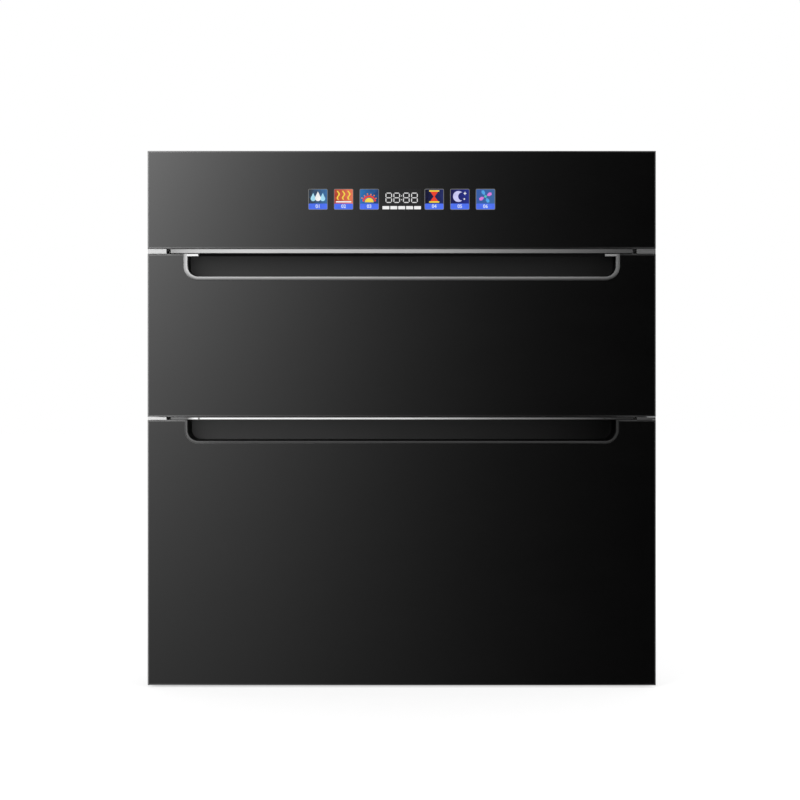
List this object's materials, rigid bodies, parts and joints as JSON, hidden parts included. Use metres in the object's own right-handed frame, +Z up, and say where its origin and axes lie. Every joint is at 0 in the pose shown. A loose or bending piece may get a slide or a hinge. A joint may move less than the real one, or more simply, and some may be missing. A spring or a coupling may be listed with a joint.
{
  "type": "dish sterilizer cabinet",
  "caption": "Built-in dish sterilizer with a touch control panel and glass-fronted drawers on telescopic slides, with finger pockets, wire racks and heated chambers.",
  "frame": {"origin": "under the middle of the cabinet, on the floor that its feet stand on", "axes": "+Z up, the drawers open towards -Y, +X to the right of someone facing the front"},
  "size_m": [0.595, 0.4292, 0.628],
  "materials": {
    "casing_steel": "satin",
    "stainless": "satin",
    "zinc_steel": "satin",
    "black_glass": "gloss",
    "display": "gloss",
    "silver_aluminium": "satin",
    "dark_aluminium": "satin",
    "black_plastic": "matte",
    "silicone": "matte",
    "rubber_black": "matte",
    "wire_chrome": "polished",
    "circuit_board": "gloss",
    "quartz": "satin",
    "lamp_glass": "gloss",
    "white_ceramic": "matte",
    "heater_aluminium": "satin",
    "mineral_wool": "matte"
  },
  "bodies": {
    "cabinet": {"left_side_panel": "casing_steel", "right_side_panel": "casing_steel", "top_panel": "casing_steel", "base_tray": "casing_steel", "back_panel": "casing_steel", "feet": "rubber_black", "cable_grommet": "rubber_black", "front_frame": "stainless", "control_glass": "black_glass", "icon_tiles": "display", "clock_lens": "display", "control_housing": "black_plastic", "touch_board": "circuit_board", "component_tray": "casing_steel", "power_board": "circuit_board", "door_switches": "black_plastic", "upper_liner": "stainless", "lower_liner": "stainless", "insulation": "mineral_wool", "heating_tubes": "quartz", "tube_holders": "white_ceramic", "tube_guard": "wire_chrome", "temperature_probe": "wire_chrome", "uv_lamp": "lamp_glass", "uv_lamp_guard": "stainless", "air_heater": "heater_aluminium", "fan_housing": "black_plastic", "fan_motor": "black_plastic", "upper_outer_slides": "zinc_steel", "lower_outer_slides": "zinc_steel"},
    "upper_drawer": {"upper_glass": "black_glass", "upper_door_frame": "black_plastic", "upper_handle_cap": "silver_aluminium", "upper_handle_lip": "black_plastic", "upper_end_blocks": "silver_aluminium", "upper_pocket_tray": "black_plastic", "upper_pocket_trim": "silver_aluminium", "upper_door_liner": "stainless", "upper_gasket": "silicone", "upper_cradle": "stainless", "upper_basket": "wire_chrome", "upper_loops": "wire_chrome", "upper_inner_slides": "zinc_steel"},
    "lower_drawer": {"lower_glass": "black_glass", "lower_door_frame": "black_plastic", "lower_handle_cap": "dark_aluminium", "lower_handle_lip": "silver_aluminium", "lower_end_blocks": "silver_aluminium", "lower_pocket_tray": "black_plastic", "lower_pocket_trim": "dark_aluminium", "lower_door_liner": "stainless", "lower_gasket": "silicone", "lower_cradle": "stainless", "lower_basket": "wire_chrome", "lower_loops": "wire_chrome", "lower_inner_slides": "zinc_steel", "drip_tray": "stainless"},
    "upper_slide_carriage": {"upper_middle_slides": "zinc_steel"},
    "lower_slide_carriage": {"lower_middle_slides": "zinc_steel"},
    "fan_rotor": {"fan_impeller": "black_plastic"}
  },
  "joints": [
    {"name": "upper_drawer_slide", "type": "slide", "parent": "cabinet", "child": "upper_drawer", "axis": [0, -1, 0], "range_m": [0, 0.33]},
    {"name": "lower_drawer_slide", "type": "slide", "parent": "cabinet", "child": "lower_drawer", "axis": [0, -1, 0], "range_m": [0, 0.33]},
    {"name": "upper_carriage_slide", "type": "slide", "parent": "cabinet", "child": "upper_slide_carriage", "axis": [0, -1, 0], "range_m": [0, 0.165]},
    {"name": "lower_carriage_slide", "type": "slide", "parent": "cabinet", "child": "lower_slide_carriage", "axis": [0, -1, 0], "range_m": [0, 0.165]},
    {"name": "fan_spin", "type": "hinge", "parent": "cabinet", "child": "fan_rotor", "pos_m": [0, 0.1944, 0.412], "axis": [0, 1, 0], "continuous": true}
  ],
  "couplings": [
    {"joint": "upper_carriage_slide", "follows": "upper_drawer_slide", "ratio": 0.5},
    {"joint": "lower_carriage_slide", "follows": "lower_drawer_slide", "ratio": 0.5}
  ]
}
